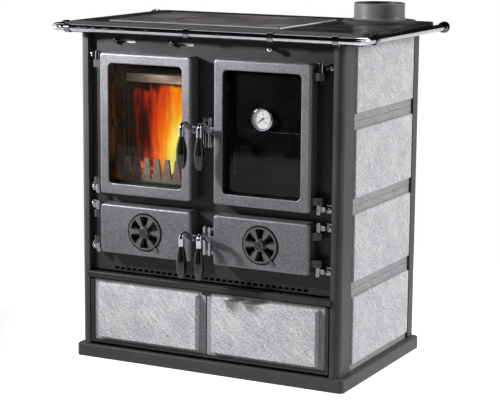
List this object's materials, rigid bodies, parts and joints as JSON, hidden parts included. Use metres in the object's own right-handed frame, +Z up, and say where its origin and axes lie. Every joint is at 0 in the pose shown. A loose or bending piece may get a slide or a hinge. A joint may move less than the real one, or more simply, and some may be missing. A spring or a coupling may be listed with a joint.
{
  "type": "wood cookstove",
  "caption": "Free-standing wood-burning cookstove with glazed firebox and oven doors, low doors with air wheels, a wood drawer, stone-clad sides, a hand rail and a flue collar.",
  "frame": {"origin": "middle of the plinth's underside, on the floor", "axes": "+X to the right seen from the front, +Y to the rear, +Z up along the flue collar"},
  "size_m": [0.8684, 0.5914, 0.903],
  "materials": {
    "frame_paint": "satin dark grey stove paint",
    "casing_paint": "matt black stove paint",
    "black_enamel": "gloss black enamel",
    "stone": "honed pale grey speckled stone",
    "cooking_iron": "ground cast iron, oiled",
    "chrome": "polished",
    "fire_iron": "sooty cast iron",
    "baffle_board": "heat-stained insulating board",
    "sheet_steel": "plain sheet steel",
    "oven_enamel": "speckled dark enamel",
    "door_paint": "metallic grey stove paint on casting",
    "wheel_paint": "satin dark grey stove paint",
    "rope_seal": "woven glass rope",
    "fire_glass": "clear ceramic glass, slightly smoked",
    "lens_glass": "clear",
    "black_grip": "gloss black",
    "pointer_paint": "matt black"
  },
  "bodies": {
    "stove": {"base_plinth": "frame_paint", "corner_posts": "frame_paint", "casing_panels": "casing_paint", "side_stone_left": "stone", "side_stone_right": "stone", "front_plate": "black_enamel", "hob_frame": "black_enamel", "cooking_plate": "cooking_iron", "flue_collar": "cooking_iron", "hand_rail": "chrome", "rail_brackets": "chrome", "firebox_walls": "fire_iron", "hearth_plate": "fire_iron", "fire_grate": "fire_iron", "smoke_baffle": "baffle_board", "log_retainer": "fire_iron", "ash_pan": "sheet_steel", "inner_chassis": "casing_paint", "oven_box": "oven_enamel", "oven_side_rails": "chrome", "oven_rack": "chrome", "hinge_brackets": "chrome", "hinge_pins": "chrome", "hinge_screws": "chrome", "latch_keepers": "chrome", "drawer_runners": "casing_paint"},
    "fire_door": {"fire_door_frame": "door_paint", "fire_door_glass": "fire_glass", "fire_door_clips": "sheet_steel", "fire_door_seal": "rope_seal"},
    "oven_door": {"oven_door_frame": "door_paint", "oven_door_glass": "fire_glass", "oven_door_clips": "sheet_steel", "oven_door_seal": "rope_seal", "thermometer_case": "chrome", "thermometer_lens": "lens_glass"},
    "ash_door": {"ash_door_frame": "door_paint", "ash_door_seal": "rope_seal"},
    "warming_door": {"warming_door_frame": "door_paint", "warming_door_seal": "rope_seal"},
    "fire_latch": {"fire_latch_lever": "chrome", "fire_latch_grip": "black_grip"},
    "oven_latch": {"oven_latch_lever": "chrome", "oven_latch_grip": "black_grip"},
    "ash_latch": {"ash_latch_lever": "chrome", "ash_latch_grip": "black_grip"},
    "warming_latch": {"warming_latch_lever": "chrome", "warming_latch_grip": "black_grip"},
    "ash_air_wheel": {"ash_register": "wheel_paint"},
    "warming_air_wheel": {"warming_register": "wheel_paint"},
    "left_air_slide": {"air_slide_left": "chrome"},
    "right_air_slide": {"air_slide_right": "chrome"},
    "bypass": {"bypass_rod": "chrome", "flue_damper": "sheet_steel"},
    "drawer": {"drawer_front_frame": "black_enamel", "drawer_stone": "stone", "drawer_pull": "black_enamel", "drawer_box": "casing_paint"},
    "lid": {"cooking_lid": "cooking_iron"},
    "pointer": {"thermometer_pointer": "pointer_paint"}
  },
  "joints": [
    {"name": "fire_door_swing", "type": "hinge", "parent": "stove", "child": "fire_door", "pos_m": [-0.3035, -0.245, 0.607], "axis": [0, 0, -1], "range_deg": [0, 110]},
    {"name": "oven_door_swing", "type": "hinge", "parent": "stove", "child": "oven_door", "pos_m": [0.3035, -0.245, 0.607], "axis": [0, 0, 1], "range_deg": [0, 110]},
    {"name": "ash_door_swing", "type": "hinge", "parent": "stove", "child": "ash_door", "pos_m": [-0.3035, -0.245, 0.343], "axis": [0, 0, -1], "range_deg": [0, 110]},
    {"name": "warming_door_swing", "type": "hinge", "parent": "stove", "child": "warming_door", "pos_m": [0.3035, -0.245, 0.343], "axis": [0, 0, 1], "range_deg": [0, 110]},
    {"name": "fire_latch_lift", "type": "hinge", "parent": "fire_door", "child": "fire_latch", "pos_m": [-0.024, -0.25, 0.608], "axis": [0, 1, 0], "range_deg": [0, 60]},
    {"name": "oven_latch_lift", "type": "hinge", "parent": "oven_door", "child": "oven_latch", "pos_m": [0.024, -0.25, 0.608], "axis": [0, -1, 0], "range_deg": [0, 60]},
    {"name": "ash_latch_lift", "type": "hinge", "parent": "ash_door", "child": "ash_latch", "pos_m": [-0.024, -0.25, 0.341], "axis": [0, 1, 0], "range_deg": [0, 60]},
    {"name": "warming_latch_lift", "type": "hinge", "parent": "warming_door", "child": "warming_latch", "pos_m": [0.024, -0.25, 0.341], "axis": [0, -1, 0], "range_deg": [0, 60]},
    {"name": "ash_air_turn", "type": "hinge", "parent": "ash_door", "child": "ash_air_wheel", "pos_m": [-0.1595, -0.263, 0.343], "axis": [0, 1, 0], "range_deg": [0, 30]},
    {"name": "warming_air_turn", "type": "hinge", "parent": "warming_door", "child": "warming_air_wheel", "pos_m": [0.1595, -0.263, 0.343], "axis": [0, 1, 0], "range_deg": [0, 30]},
    {"name": "left_air_slide_move", "type": "slide", "parent": "stove", "child": "left_air_slide", "axis": [1, 0, 0], "range_m": [0, 0.045]},
    {"name": "right_air_slide_move", "type": "slide", "parent": "stove", "child": "right_air_slide", "axis": [1, 0, 0], "range_m": [0, 0.045]},
    {"name": "bypass_pull", "type": "slide", "parent": "stove", "child": "bypass", "axis": [0, -1, 0], "range_m": [0, 0.06]},
    {"name": "drawer_pull_out", "type": "slide", "parent": "stove", "child": "drawer", "axis": [0, -1, 0], "range_m": [0, 0.35]},
    {"name": "lid_lift", "type": "slide", "parent": "stove", "child": "lid", "axis": [0, 0, 1], "range_m": [0, 0.12]},
    {"name": "pointer_turn", "type": "hinge", "parent": "oven_door", "child": "pointer", "pos_m": [0.157, -0.251, 0.645], "axis": [0, 1, 0], "range_deg": [0, 240]}
  ]
}
